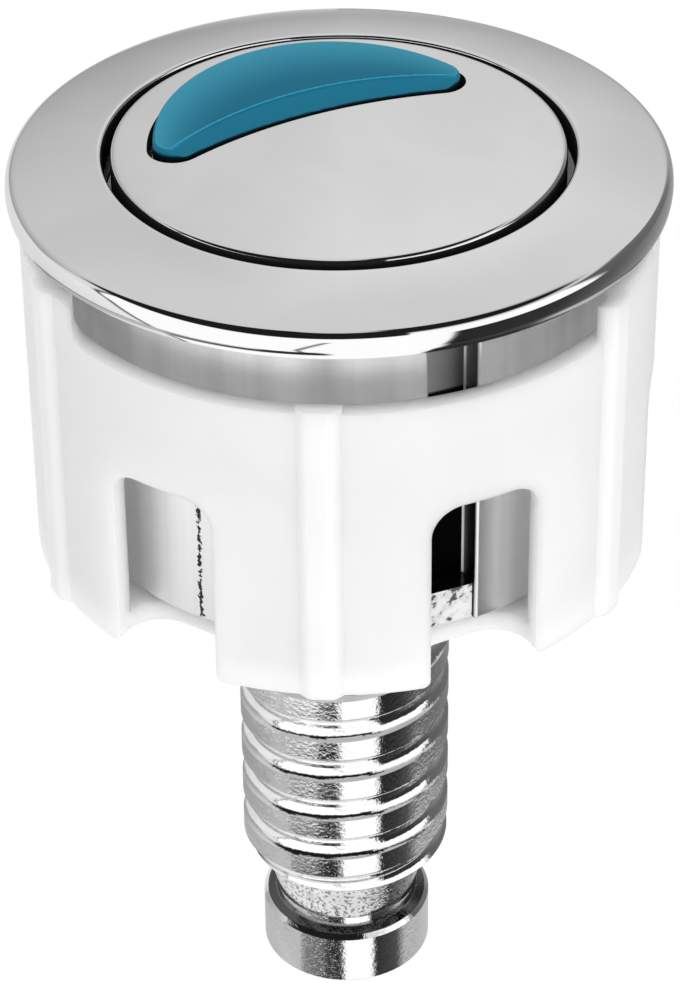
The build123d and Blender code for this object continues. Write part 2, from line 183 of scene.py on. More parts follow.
world = bpy.data.worlds.new("white_studio")
scene.world = world
world.use_nodes = True
room = world.node_tree
room.nodes.clear()
toward = add_node(room, "ShaderNodeTexCoord").outputs["Generated"]
turned = add_node(room, "ShaderNodeVectorRotate", rotation_type="Z_AXIS",
                  inputs={"Vector": toward, "Angle": -CAMERA_TURN}).outputs[0]
side, depth, height = add_node(room, "ShaderNodeSeparateXYZ", inputs={0: turned}).outputs
around = maths(room, "ARCTAN2", side, maths(room, "MULTIPLY", depth, -1.0))
bearing = maths(room, "MULTIPLY_ADD", around, 0.5 / math.pi, 0.5)


def at(degrees):
    """The place on a ramp of a bearing in degrees, 0 at the photograph's side and positive to its right."""
    return degrees / 360 + 0.5


collar_wall = tones(room, bearing, [
    (at(-180), 0.36), (at(-95), 0.5), (at(-70), 0.48), (at(-64), 0.18), (at(-30), 0.04), (at(-6), 0.01),
    (at(-2), 1.0), (at(36), 1.0), (at(40), 0.03), (at(76), 0.07), (at(90), 0.46), (at(180), 0.4)])
stem_wall = tones(room, bearing, [
    (at(-180), 0.26), (at(-95), 0.28), (at(-62), 0.5), (at(-32), 0.62), (at(-27), 0.01), (at(-9), 0.01),
    (at(-5), 1.0), (at(35), 1.0), (at(39), 0.01), (at(60), 0.02), (at(80), 0.1), (at(180), 0.18)])
low_walls = blend_colours(room, spread(room, height, *COLLAR_STEP), collar_wall, stem_wall)
left_half = spread(room, bearing, at(-40), at(-60))
lean = maths(room, "MULTIPLY", left_half, spread(room, height, -0.75, 0.25, 0.0, LEAN_DEG / 360))
leaning = maths(room, "ADD", bearing, lean)
rim_wall = tones(room, leaning, [
    (at(-180), 0.5), (at(-120), 0.68), (at(-72), 0.82), (at(-70), 0.01), (at(-69), 0.01), (at(-67), 1.0),
    (at(35), 1.0), (at(37), 0.02), (at(75), 0.03), (at(100), 0.1), (at(130), 0.22), (at(180), 0.35)])
bend = maths(room, "ABSOLUTE", maths(room, "SUBTRACT", height, CREASE_HEIGHT))
from_crease = maths(room, "SUBTRACT", maths(room, "MULTIPLY_ADD", bend, -CREASE_BEND, bearing), at(CREASE_DEG))
crease = spread(room, maths(room, "ABSOLUTE", from_crease), 0.005, 0.002, 0.0, 0.8)
creased_wall = blend_colours(room, crease, rim_wall, grey(0.03))
middle_wall = tones(room, leaning, [
    (at(-180), 0.4), (at(-150), 0.42), (at(-120), 0.6), (at(-72), 0.74), (at(-70), 0.01), (at(-69), 0.01),
    (at(-67), 1.0), (at(88), 1.0), (at(95), 0.1), (at(140), 0.15), (at(155), 0.4), (at(180), 0.4)])
ground_light = blend_colours(room, spread(room, height, *GROUND_STEP), rim_wall, low_walls)
below = blend_colours(room, spread(room, height, *RIM_STEP), ground_light, creased_wall)
walls = blend_colours(room, spread(room, height, *HORIZON_STEP), below, middle_wall)
print("walls with", len(room.nodes), "nodes")

# %% Ceiling and panel
PANEL_STEP = (0.47, 0.55)
PANEL_TOP = (0.998, 0.99)
PANEL_RAISE = 0.26
FRONT_RAISE = 0.6

high_wall = tones(room, height, [
    (0.0, 0.3), (0.12, 0.39), (0.2, 0.45), (0.3, 0.52), (0.42, 0.6), (0.55, 0.68), (0.62, 0.7), (0.78, 0.62),
    (1.0, 0.6)])
side_shade = tones(room, bearing, [
    (at(-180), 0.97), (at(-177), 0.9), (at(-172), 0.79), (at(-100), 0.8), (at(-50), 1.0), (at(165), 0.92),
    (at(172), 0.96), (at(178), 1.0)])
back_wall = blend_colours(room, spread(room, height, 0.8, 0.6), high_wall, side_shade, "MULTIPLY")
front = tones(room, bearing, [(at(-110), 0.0), (at(-85), 1.0), (at(140), 1.0), (at(155), 0.0)])
drop = maths(room, "MULTIPLY_ADD", front, -FRONT_RAISE, height)
wall = blend_colours(room, spread(room, drop, 0.02, 0.12), walls, back_wall)
right_patch = spread(room, bearing, at(22), at(28))
panel_foot = maths(room, "MULTIPLY_ADD", right_patch, -PANEL_RAISE, height)
panel_side = tones(room, bearing, [(at(-104), 0.0), (at(-98), 1.0), (at(140), 1.0), (at(155), 0.0)])
panel_up = maths(room, "MULTIPLY", spread(room, panel_foot, *PANEL_STEP), spread(room, height, *PANEL_TOP))
panel = maths(room, "MULTIPLY", panel_up, panel_side)
shown_room = blend_colours(room, panel, wall, grey(0.01))
print("ceiling and panel done,", len(room.nodes), "nodes")

# %% Room light
DIFFUSE_LEVEL = 0.88
MIRROR_LEVEL = 1.5
WHITE = grey(1)

ray = add_node(room, "ShaderNodeLightPath")
soft_light = add_node(room, "ShaderNodeBackground", inputs={0: WHITE, 1: DIFFUSE_LEVEL})
mirrored = add_node(room, "ShaderNodeBackground", inputs={0: shown_room, 1: MIRROR_LEVEL})
white = add_node(room, "ShaderNodeBackground", inputs={0: WHITE, 1: 1.0})
lit = add_node(room, "ShaderNodeMixShader",
               inputs={0: ray.outputs["Is Glossy Ray"], 1: soft_light.outputs[0], 2: mirrored.outputs[0]})
seen = maths(room, "MAXIMUM", ray.outputs["Is Camera Ray"], ray.outputs["Is Transmission Ray"])
backdrop = add_node(room, "ShaderNodeMixShader", inputs={0: seen, 1: lit.outputs[0], 2: white.outputs[0]})
add_node(room, "ShaderNodeOutputWorld", inputs={0: backdrop.outputs[0]})
print("room with", len(room.nodes), "nodes, soft light", DIFFUSE_LEVEL)

# %% [markdown]
# ## Floor and lamps
# The button hangs in a lid, so the floor lies well below it. It is a plain pale disc. Part of its white is its own
# glow, so that it meets the backdrop without an edge, and the rest is lit and keeps the shadow. One wide lamp in front
# and one above to the left give the white nut its soft shading.

# %% Floor
FLOOR_Z = -0.25
FLOOR_R = 0.115
FLOOR_CORNERS = 96
FLOOR_GLOW = 1.08
GLOW_SHARE = 0.7

floor_mesh = bpy.data.meshes.new("floor")
floor_turns = [i * math.tau / FLOOR_CORNERS for i in range(FLOOR_CORNERS)]
floor_rim = [(FLOOR_R * math.cos(t), FLOOR_R * math.sin(t), FLOOR_Z) for t in floor_turns]
floor_mesh.from_pydata(floor_rim, [], [list(range(FLOOR_CORNERS))])
floor = bpy.data.objects.new("floor", floor_mesh)
scene.collection.objects.link(floor)
pale = bpy.data.materials.new("pale_floor")
pale.use_nodes = True
ground = pale.node_tree
ground.nodes.clear()
matt = add_node(ground, "ShaderNodeBsdfDiffuse", inputs={0: grey(0.9)})
glow = add_node(ground, "ShaderNodeEmission", inputs={0: WHITE, 1: FLOOR_GLOW})
look = add_node(ground, "ShaderNodeLightPath")
plain_view = maths(ground, "MAXIMUM", look.outputs["Is Camera Ray"], look.outputs["Is Glossy Ray"])
glow_share = maths(ground, "MULTIPLY", plain_view, GLOW_SHARE)
floor_look = add_node(ground, "ShaderNodeMixShader",
                      inputs={0: glow_share, 1: matt.outputs[0], 2: glow.outputs[0]})
add_node(ground, "ShaderNodeOutputMaterial", inputs={0: floor_look.outputs[0]})
floor_mesh.materials.append(pale)
print("floor at", round(FLOOR_Z * MM_PER_M), "mm from the lid seat")

# %% Lamps
LAMP_AIM = Vector((0, 0, -0.03))


def soft_lamp(name, bearing_deg, rise_deg, distance, size, watts):
    """A square area lamp aimed at the middle of the button; the bearing counts from the photograph's side."""
    around_it = CAMERA_TURN + math.radians(bearing_deg)
    rise = math.radians(rise_deg)
    out = Vector((math.sin(around_it) * math.cos(rise), -math.cos(around_it) * math.cos(rise), math.sin(rise)))
    lamp = bpy.data.lights.new(name, "AREA")
    lamp.shape = "SQUARE"
    lamp.size = size
    lamp.energy = watts
    holder = bpy.data.objects.new(name, lamp)
    holder.location = LAMP_AIM + out * distance
    holder.rotation_euler = out.to_track_quat("Z", "Y").to_euler()
    holder.visible_camera = False
    holder.visible_glossy = False
    scene.collection.objects.link(holder)


soft_lamp("front_lamp", bearing_deg=27, rise_deg=8, distance=0.5, size=0.15, watts=0.85)
soft_lamp("top_lamp", bearing_deg=-60, rise_deg=65, distance=0.6, size=0.4, watts=0.5)

# %% [markdown]
# ## Plated skin
# Plating on moulded plastic is never quite flat: it has a fine ripple like orange peel and faint smears from
# handling. The effect is a node group, so that the bezel, the button and the stem can use it with their own values.
# It puts out a tone, a roughness and a height; the shader stays in each material.

# %% Plated skin group
NUMBER = "NodeSocketFloat"


def new_group(name, wanted):
    """A node group with these inputs (name, default), and its input and output nodes."""
    group = bpy.data.node_groups.new(name, "ShaderNodeTree")
    for label, default in wanted:
        socket = group.interface.new_socket(label, in_out="INPUT", socket_type=NUMBER)
        socket.default_value = default
    for label in ("Tone", "Roughness", "Height"):
        group.interface.new_socket(label, in_out="OUTPUT", socket_type=NUMBER)
    return group, group.nodes.new("NodeGroupInput").outputs, group.nodes.new("NodeGroupOutput").inputs


def put_out(group, outlets, tone, roughness, height):
    """Links a group's three results to its outputs."""
    for label, result in (("Tone", tone), ("Roughness", roughness), ("Height", height)):
        group.links.new(result, outlets[label])
    print("group", group.name, "with", len(group.nodes), "nodes")


plated, plated_in, plated_out = new_group(
    "plated_skin",
    [("Peel Size", 900.0), ("Peel Depth", 1.0), ("Smear Size", 90.0), ("Gloss", 0.1), ("Gloss Change", 0.05)])
plated_place = add_node(plated, "ShaderNodeTexCoord").outputs["Object"]
peel = noise(plated, plated_place, plated_in["Peel Size"], 3.0, Roughness=0.55)
smear = noise(plated, plated_place, plated_in["Smear Size"], 4.0, Distortion=0.8)
smear_tone = spread(plated, smear, 0.35, 0.7)
smear_gloss = maths(plated, "MULTIPLY_ADD", smear_tone, plated_in["Gloss Change"], plated_in["Gloss"])
ripple = maths(plated, "MULTIPLY", peel, plated_in["Peel Depth"])
put_out(plated, plated_out, smear_tone, smear_gloss, ripple)

# %% [markdown]
# ## Brushed lines
# The barrel was brushed while it turned, so its lines run round the axis. The group turns the place into an angle and
# a height, squeezes the angle and reads a noise there. The springs use it too, for the drawing marks on their wire.

# %% Brushed lines group
brushed, brushed_in, brushed_out = new_group(
    "brushed_lines", [("Lines", 9000.0), ("Length", 14.0), ("Gloss", 0.3), ("Gloss Change", 0.15)])
brushed_place = add_node(brushed, "ShaderNodeTexCoord").outputs["Object"]
brushed_x, brushed_y, brushed_z = add_node(brushed, "ShaderNodeSeparateXYZ", inputs={0: brushed_place}).outputs
brushed_turn = maths(brushed, "ARCTAN2", brushed_y, brushed_x)
swept = add_node(brushed, "ShaderNodeCombineXYZ",
                 inputs={0: maths(brushed, "MULTIPLY", brushed_turn, brushed_in["Length"]),
                         1: maths(brushed, "MULTIPLY", brushed_z, brushed_in["Lines"])})
lines = noise(brushed, swept.outputs[0], 1.0, 4.0, Roughness=0.7)
line_tone = spread(brushed, lines, 0.25, 0.75)
line_gloss = maths(brushed, "MULTIPLY_ADD", line_tone, brushed_in["Gloss Change"], brushed_in["Gloss"])
put_out(brushed, brushed_out, line_tone, line_gloss, lines)

# %% [markdown]
# ## Moulded skin
# Moulded plastic copies the fine spark marks of its mould, and its colour drifts a little where the melt flowed. The
# group gives a fine grain for the bump and a slow drift for the colour.

# %% Moulded skin group
moulded, moulded_in, moulded_out = new_group(
    "moulded_skin", [("Grain Size", 5000.0), ("Flow Size", 60.0), ("Gloss", 0.35), ("Gloss Change", 0.1)])
moulded_place = add_node(moulded, "ShaderNodeTexCoord").outputs["Object"]
grain = noise(moulded, moulded_place, moulded_in["Grain Size"], 2.0)
flow = noise(moulded, moulded_place, moulded_in["Flow Size"], 3.0, Distortion=1.2)
flow_tone = spread(moulded, flow, 0.3, 0.7)
grain_gloss = maths(moulded, "MULTIPLY_ADD", grain, moulded_in["Gloss Change"], moulded_in["Gloss"])
put_out(moulded, moulded_out, flow_tone, grain_gloss, grain)

# %% [markdown]
# ## Finish helpers
# Each finish is one Principled shader fed by one of the groups. A helper places the group, mixes two near colours by
# its tone, and turns its height into a bump. What is the same all over is set on the shader's own sockets. Marks that
# belong to one place, such as a seam, are masks made from the place on the part, so they stay there from any side.

# %% Finish helpers
def finish_material(name, group, group_values, dark, light, bump, bump_mm, plain):
    """A Principled material: two colours mixed by the group's tone, its roughness, and a bump from its height."""
    material = bpy.data.materials.new(name)
    material.use_nodes = True
    tree = material.node_tree
    shader = tree.nodes["Principled BSDF"]
    skin = add_node(tree, "ShaderNodeGroup", node_tree=group, inputs=group_values)
    colour = blend_colours(tree, skin.outputs["Tone"], (*dark, 1), (*light, 1))
    tree.links.new(colour, shader.inputs["Base Color"])
    tree.links.new(skin.outputs["Roughness"], shader.inputs["Roughness"])
    relief = add_node(tree, "ShaderNodeBump", inputs={"Strength": bump, "Distance": bump_mm / MM_PER_M,
                                                      "Height": skin.outputs["Height"]})
    tree.links.new(relief.outputs[0], shader.inputs["Normal"])
    for label, value in plain.items():
        shader.inputs[label].default_value = value
    return material, tree, shader


def fed_by(shader, label):
    """The socket that feeds this input of a shader now."""
    return shader.inputs[label].links[0].from_socket


def place_on_part(tree):
    """Sockets for the place on the part, in metres: the vector, x, y, the height and the distance from the axis."""
    vector = add_node(tree, "ShaderNodeTexCoord").outputs["Object"]
    x, y, z = add_node(tree, "ShaderNodeSeparateXYZ", inputs={0: vector}).outputs
    flat = add_node(tree, "ShaderNodeVectorMath", operation="MULTIPLY", inputs={0: vector, 1: (1, 1, 0)})
    reach = add_node(tree, "ShaderNodeVectorMath", operation="LENGTH", inputs={0: flat.outputs[0]})
    return SimpleNamespace(vector=vector, x=x, y=y, height=z, reach=reach.outputs["Value"])


def facing_up(tree):
    """A socket that says how far the surface looks up, 1 for level and 0 for upright."""
    normal = add_node(tree, "ShaderNodeNewGeometry").outputs["Normal"]
    return add_node(tree, "ShaderNodeSeparateXYZ", inputs={0: normal}).outputs[2]


def dress(material, *names):
    """Gives these solids this finish."""
    for name in names:
        solid = nodes[name]
        solid.data.materials.clear()
        solid.data.materials.append(material)
    print(material.name, "on", ", ".join(names))


print("finish helpers ready")

# %% [markdown]
# ## Bezel ring and full flush button
# Both are turned shapes in bright plating, and a mirror shows every facet. The solids have long facets round their
# small rounded edges, so the ring and the button are turned again here in fine steps, with the same outlines. An
# outline is a list of points, radius and height in millimetres; an arc through three points adds the rounded parts.

# %% Turning
TURN_STEPS = 360
ON_AXIS = 1e-6
CRISP_DEG = 35


def arc_through(first, middle, last, steps):
    """Points along the arc through three points, without the last one."""
    (ax, ay), (bx, by), (cx, cy) = first, middle, last
    twice = 2 * (ax * (by - cy) + bx * (cy - ay) + cx * (ay - by))
    a2, b2, c2 = ax * ax + ay * ay, bx * bx + by * by, cx * cx + cy * cy
    ux = (a2 * (by - cy) + b2 * (cy - ay) + c2 * (ay - by)) / twice
    uy = (a2 * (cx - bx) + b2 * (ax - cx) + c2 * (bx - ax)) / twice
    start = math.atan2(ay - uy, ax - ux)
    sweep = (math.atan2(cy - uy, cx - ux) - start + math.pi) % math.tau - math.pi
    reach = math.hypot(ax - ux, ay - uy)
    return [(ux + reach * math.cos(start + sweep * i / steps), uy + reach * math.sin(start + sweep * i / steps))
            for i in range(steps)]


def turn(name, outline, steps=TURN_STEPS):
    """A piece turned about the Z axis from a closed outline in millimetres; a point on the axis is used once."""
    mesh = bpy.data.meshes.new(name)
    corners, rows = [], []
    for radius, z in outline:
        if radius < ON_AXIS:
            rows.append([len(corners)] * steps)
            corners.append((0, 0, z / MM_PER_M))
            continue
        rows.append(list(range(len(corners), len(corners) + steps)))
        corners += [(radius / MM_PER_M * math.cos(math.tau * k / steps),
                     radius / MM_PER_M * math.sin(math.tau * k / steps), z / MM_PER_M) for k in range(steps)]
    faces = []
    for i, row in enumerate(rows):
        after = rows[(i + 1) % len(rows)]
        for k in range(steps):
            n = (k + 1) % steps
            face = list(dict.fromkeys((row[k], row[n], after[n], after[k])))
            if len(face) > 2:
                faces.append(face)
    mesh.from_pydata(corners, [], faces)
    mesh.validate()
    piece = bpy.data.objects.new(name, mesh)
    scene.collection.objects.link(piece)
    return piece


def smooth_shading(piece):
    """Smooth faces, with the sharp edges left crisp."""
    piece.data.polygons.foreach_set("use_smooth", [True] * len(piece.data.polygons))
    piece.data.set_sharp_from_angle(angle=math.radians(CRISP_DEG))
    print(piece.name, "with", len(piece.data.polygons), "faces")


# %% Bezel ring
RIM_FOOT, RIM_MIDDLE, RIM_HEAD = (23.92, 0), (24, 0.625), (23.92, 1.25)
TOP_EDGE, TOP_MIDDLE = (23.4, 1.85), (20.35, 2.47)
LIP_EDGE, LIP_MIDDLE, LIP_FOOT = (17.3, 2.85), (17.0879, 2.7621), (17, 2.55)
BEZEL_UNDERSIDE = [(17, 0.6), (18.5, 0.6), (18.5, 1), (22.6, 1), (22.6, 0)]

rim_lean = 2 * math.atan2(RIM_MIDDLE[0] - RIM_FOOT[0], RIM_MIDDLE[1] - RIM_FOOT[1])
edge_chord = math.atan2(RIM_HEAD[0] - TOP_EDGE[0], TOP_EDGE[1] - RIM_HEAD[1])
edge_sag = math.dist(RIM_HEAD, TOP_EDGE) / 2 * math.tan((edge_chord - rim_lean) / 2)
edge_middle = ((RIM_HEAD[0] + TOP_EDGE[0]) / 2 + edge_sag * math.cos(edge_chord),
               (RIM_HEAD[1] + TOP_EDGE[1]) / 2 + edge_sag * math.sin(edge_chord))
bezel_outline = (
    arc_through(RIM_FOOT, RIM_MIDDLE, RIM_HEAD, 12)
    + arc_through(RIM_HEAD, edge_middle, TOP_EDGE, 16)
    + arc_through(TOP_EDGE, TOP_MIDDLE, LIP_EDGE, 24)
    + arc_through(LIP_EDGE, LIP_MIDDLE, LIP_FOOT, 14)
    + [LIP_FOOT] + BEZEL_UNDERSIDE)
bright_bezel = turn("bright_bezel", bezel_outline)
smooth_shading(bright_bezel)
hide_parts("bezel_ring")
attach(bright_bezel, "housing")

# %% [markdown]
# ## The crescent's opening
# The full flush button is turned first, as a plain round cap. Its opening for the half flush button lies between a
# round back edge and a hollow front edge, with rounded tips that touch both. The tips' centres follow from those
# two arcs. A punch of that outline cuts the opening, as it would be cut from a blank, so its edges stay crisp.

# %% Full flush button
CAP_UNDERSIDE = [(0, 1.65), (15.4, 1.65), (15.4, 0.45), (16.4, 0.45)]
CAP_SIDE, CAP_ROUND, CAP_EDGE = (16.4, 2.6), (16.2682, 2.9182), (15.95, 3.05)
CAP_CROWN, CAP_TOP = (7.975, 3.2), (0, 3.25)
HOLLOW_Y, HOLLOW_R, ROUND_R, TIP_R = -30.92, 35.2, 13.75, 2.0
PUNCH_LOW, PUNCH_HIGH = 1.2, 3.8

cap_outline = (
    CAP_UNDERSIDE
    + arc_through(CAP_SIDE, CAP_ROUND, CAP_EDGE, 16)
    + arc_through(CAP_EDGE, CAP_CROWN, CAP_TOP, 24)
    + [CAP_TOP])
bright_cap = turn("bright_cap", cap_outline)
tip_out = ROUND_R - TIP_R
tip_y = ((HOLLOW_R + TIP_R) ** 2 - tip_out**2 - HOLLOW_Y**2) / (-2 * HOLLOW_Y)
tip_x = math.sqrt(tip_out**2 - tip_y**2)
back_corner = (tip_x * ROUND_R / tip_out, tip_y * ROUND_R / tip_out)
front_share = HOLLOW_R / (HOLLOW_R + TIP_R)
front_corner = (tip_x * front_share, HOLLOW_Y + (tip_y - HOLLOW_Y) * front_share)
outer_turn = (math.atan2(tip_y, tip_x) + math.atan2(HOLLOW_Y - tip_y, -tip_x)) / 2
tip_end = (tip_x + TIP_R * math.cos(outer_turn), tip_y + TIP_R * math.sin(outer_turn))
back_left, tip_left, front_left = [(-x, y) for x, y in (back_corner, tip_end, front_corner)]
opening_outline = (
    arc_through(front_corner, tip_end, back_corner, 16)
    + arc_through(back_corner, (0, ROUND_R), back_left, 120)
    + arc_through(back_left, tip_left, front_left, 16)
    + arc_through(front_left, (0, HOLLOW_Y + HOLLOW_R), front_corner, 80))
print("opening", round(2 * tip_end[0], 1), "mm wide, outlined by", len(opening_outline), "points")

# %% Cut the opening
count = len(opening_outline)
punch_mesh = bpy.data.meshes.new("crescent_punch")
punch_mesh.from_pydata(
    [(x / MM_PER_M, y / MM_PER_M, z / MM_PER_M) for z in (PUNCH_LOW, PUNCH_HIGH) for x, y in opening_outline], [],
    [list(reversed(range(count))), list(range(count, 2 * count))]
    + [[i, (i + 1) % count, (i + 1) % count + count, i + count] for i in range(count)])
punch = bpy.data.objects.new("crescent_punch", punch_mesh)
scene.collection.objects.link(punch)
cut = bright_cap.modifiers.new("opening", "BOOLEAN")
cut.operation = "DIFFERENCE"
cut.solver = "EXACT"
cut.object = punch
opened = bpy.data.meshes.new_from_object(bright_cap.evaluated_get(bpy.context.evaluated_depsgraph_get()))
bright_cap.modifiers.remove(cut)
bright_cap.data = opened
bpy.data.objects.remove(punch)
smooth_shading(bright_cap)
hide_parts("full_cap")
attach(bright_cap, "full")

# %% [markdown]
# ## Bright plating
# The ring and the full flush button are a mirror with hardly any grain. The narrow gap between them, and the sides of
# the crescent's opening, stay dark on the real button, because they see only each other. Bounces of light alone leave
# them grey here, so a mask by distance from the axis and height makes the plating there black and dull.

# %% Bright plating
GAP_INSIDE, GAP_OUTSIDE = (0.01628, 0.01632), (0.01714, 0.0171)
GAP_ACROSS, GAP_TOPS = (0.0166, 0.0168), (0.00284, 0.00268)
STEEP, WITHIN_CAP = (0.75, 0.55), (0.0159, 0.0157)
GAP_BLACK = grey(0.012)

bright_plating, shone, bright_shader = finish_material(
    "bright_plating", plated,
    {"Peel Size": 500.0, "Smear Size": 70.0, "Gloss": 0.05, "Gloss Change": 0.03},
    (0.645, 0.645, 0.647), (0.685, 0.685, 0.687), 0.05, 0.02, {"Specular IOR Level": 0.1})
on_top = place_on_part(shone)
in_gap = band(shone, on_top.reach, GAP_INSIDE, GAP_OUTSIDE)
gap_top = spread(shone, on_top.reach, *GAP_ACROSS, *GAP_TOPS)
gap_side = maths(shone, "MULTIPLY", in_gap, maths(shone, "LESS_THAN", on_top.height, gap_top))
opening_side = maths(shone, "MULTIPLY", spread(shone, facing_up(shone), *STEEP),
                     spread(shone, on_top.reach, *WITHIN_CAP))
gap_dark = maths(shone, "MAXIMUM", gap_side, opening_side)
gap_colour = blend_colours(shone, gap_dark, fed_by(bright_shader, "Base Color"), GAP_BLACK)
gap_gloss = maths(shone, "MAXIMUM", fed_by(bright_shader, "Roughness"), gap_dark)
shone.links.new(gap_colour, bright_shader.inputs["Base Color"])
shone.links.new(gap_gloss, bright_shader.inputs["Roughness"])
shone.links.new(maths(shone, "SUBTRACT", 1.0, gap_dark), bright_shader.inputs["Metallic"])
dress(bright_plating, "bezel_ring", "full_cap")
for turned_piece in (bright_bezel, bright_cap):
    turned_piece.data.materials.append(bright_plating)

# %% [markdown]
# ## Stem plating
# The stem is a rougher casting, so its plating is rippled. Its taper is flecked, and a dark ring above the collar is a
# painted reflection: it stands in for the dark that the bevel mirrors there. The lugs that sit in the barrel's
# channels are bare and grainy, and their tops are painted dark as shade. These marks are too fine for the mesh, so
# they are colours, held in place by the height and the distance from the axis.

# %% Stem plating
TAPER_HEAD, TAPER_FOOT = (-0.0606, -0.0612), (-0.0653, -0.065)
RING_HEAD, RING_FOOT, RING_REACH = (-0.06595, -0.0661), (-0.0667, -0.0665), (0.00645, 0.0064)
LUG_REACH, LUG_LEVEL = (0.0166, 0.0169), (0.6, 0.9)
FLECK_SIZE, LUG_GRAIN_SIZE = 3400.0, 1500.0
FLECK_GREY, COLLAR_SHADE_GREY, LUG_TOP_SHADE_GREY = grey(0.12), grey(0.09), grey(0.004)
LUG_DULLNESS = 0.8

rippled_plating, cast, stem_shader = finish_material(
    "rippled_plating", plated,
    {"Peel Size": 3200.0, "Smear Size": 160.0, "Gloss": 0.04, "Gloss Change": 0.04},
    (0.66, 0.66, 0.662), (0.74, 0.74, 0.742), 0.33, 0.05, {})
on_stem = place_on_part(cast)
flecks = spread(cast, noise(cast, on_stem.vector, FLECK_SIZE, 2.0), 0.5, 0.36, 0.0, 0.85)
fleck = maths(cast, "MULTIPLY", band(cast, on_stem.height, TAPER_HEAD, TAPER_FOOT), flecks)
flecked_stem = blend_colours(cast, fleck, fed_by(stem_shader, "Base Color"), FLECK_GREY)
# Painted reflection: a dark ring above the collar stands in for the dark that the bevel mirrors there.
collar_shade_ring = maths(cast, "MULTIPLY", band(cast, on_stem.height, RING_HEAD, RING_FOOT),
                    spread(cast, on_stem.reach, *RING_REACH))
collar_shaded_stem = blend_colours(cast, collar_shade_ring, flecked_stem, COLLAR_SHADE_GREY)
lug_grain = tones(cast, noise(cast, on_stem.vector, LUG_GRAIN_SIZE, 2.0), [(0.38, 0.12), (0.44, 0.8), (0.6, 0.98)])
# Painted shade: the lugs' level tops are painted near black, as they lie in shade down in the channels.
lug_colour_top_shaded = blend_colours(cast, spread(cast, facing_up(cast), *LUG_LEVEL), lug_grain, LUG_TOP_SHADE_GREY)
bare_lug = spread(cast, on_stem.reach, *LUG_REACH)
lugged_stem = blend_colours(cast, bare_lug, collar_shaded_stem, lug_colour_top_shaded)
cast.links.new(lugged_stem, stem_shader.inputs["Base Color"])
cast.links.new(maths(cast, "MULTIPLY_ADD", bare_lug, -LUG_DULLNESS, 1.0), stem_shader.inputs["Metallic"])
dress(rippled_plating, "stem_base")

# %% [markdown]
# ## Satin barrel
# The barrel is brushed round, with faint upright streaks. Its top is painted darker, painted shade that tones down the
# bright reflection under the bezel, and it is darker towards the foot. A ragged dark seam runs up its lower half where
# the mould closed. The channels' floors are painted shade: dark, grey near the lid and shading across, with a painted
# highlight along one inner corner. An angle round the axis places the seam, and the channels repeat every third of a
# turn.

# %% Satin barrel
SEAM_TURN = math.radians(148.1)
SEAM_WIDTH, SEAM_START = (0.00012, 0.00003), (-0.0125, -0.0135)
SEAM_GRAIN_SIZE, SEAM_MIDDLE, SEAM_RAGGED = 3000.0, 0.55, 0.0009
STREAKS_ROUND = 7.0
STREAK_AND_SHADE_GREY, SEAM_GREY = (0.42, 0.42, 0.425, 1), grey(0.03)
HEIGHT_SCALE = 40.0

satin_plating, grooved, barrel_shader = finish_material(
    "satin_barrel", brushed,
    {"Lines": 9000.0, "Length": 14.0, "Gloss": 0.34, "Gloss Change": 0.08},
    (0.87, 0.87, 0.875), (0.93, 0.93, 0.935), 0.08, 0.01, {"Anisotropic": 0.2})
lathe_turn = add_node(grooved, "ShaderNodeTangent", direction_type="RADIAL", axis="Z")
grooved.links.new(lathe_turn.outputs[0], barrel_shader.inputs["Tangent"])
on_barrel = place_on_part(grooved)
round_barrel = maths(grooved, "ARCTAN2", on_barrel.y, on_barrel.x)
streak_place = add_node(grooved, "ShaderNodeCombineXYZ",
                        inputs={0: maths(grooved, "MULTIPLY", round_barrel, STREAKS_ROUND)})
streaks = spread(grooved, noise(grooved, streak_place.outputs[0], 1.0, 3.0), 0.35, 0.65, 0.0, 0.25)
# Painted shade: the barrel's top is darkened to tone down the bright reflection under the bezel, and the foot is
# darker too.
top_shade_and_dark_foot = tones(grooved, maths(grooved, "MULTIPLY_ADD", on_barrel.height, HEIGHT_SCALE, 1.0),
                  [(0.0, 0.3), (0.7, 0.0), (0.76, 0.0), (0.94, 0.6)])
streaked_and_shaded_colour = blend_colours(grooved, maths(grooved, "ADD", streaks, top_shade_and_dark_foot),
                                fed_by(barrel_shader, "Base Color"), STREAK_AND_SHADE_GREY)
from_seam = maths(grooved, "WRAP", maths(grooved, "ADD", round_barrel, SEAM_TURN), math.pi, -math.pi)
seam_grain = noise(grooved, on_barrel.vector, SEAM_GRAIN_SIZE, 2.0)
ragged = maths(grooved, "MULTIPLY", maths(grooved, "SUBTRACT", seam_grain, SEAM_MIDDLE), SEAM_RAGGED)
seam_way = maths(grooved, "MULTIPLY_ADD", maths(grooved, "ABSOLUTE", from_seam), on_barrel.reach, ragged)
seam = maths(grooved, "MULTIPLY", spread(grooved, seam_way, *SEAM_WIDTH),
             spread(grooved, on_barrel.height, *SEAM_START))
seamed_colour = blend_colours(grooved, seam, streaked_and_shaded_colour, SEAM_GREY)
print("satin barrel with", len(grooved.nodes), "nodes so far")

# %% Barrel channels
CHANNEL_TURN = math.radians(94.4)
CHANNEL_HALF, CORNER_PLACE, CORNER_WIDTH = 0.0019, 0.00176, (0.00012, 0.00006)
NEAR_LID, CHANNEL_FLOOR, BARREL_OUTSIDE = (-0.0075, -0.0072), (0.0181, 0.01805), (0.0197, 0.0199)
CHANNEL_SHADE_PALE, CHANNEL_SHADE_DARK, CHANNEL_SHADE_BLACK, CORNER_HIGHLIGHT_GREY = grey(0.55), grey(0.2), grey(0.004), grey(0.95)
CORNER_DULLNESS = 0.9

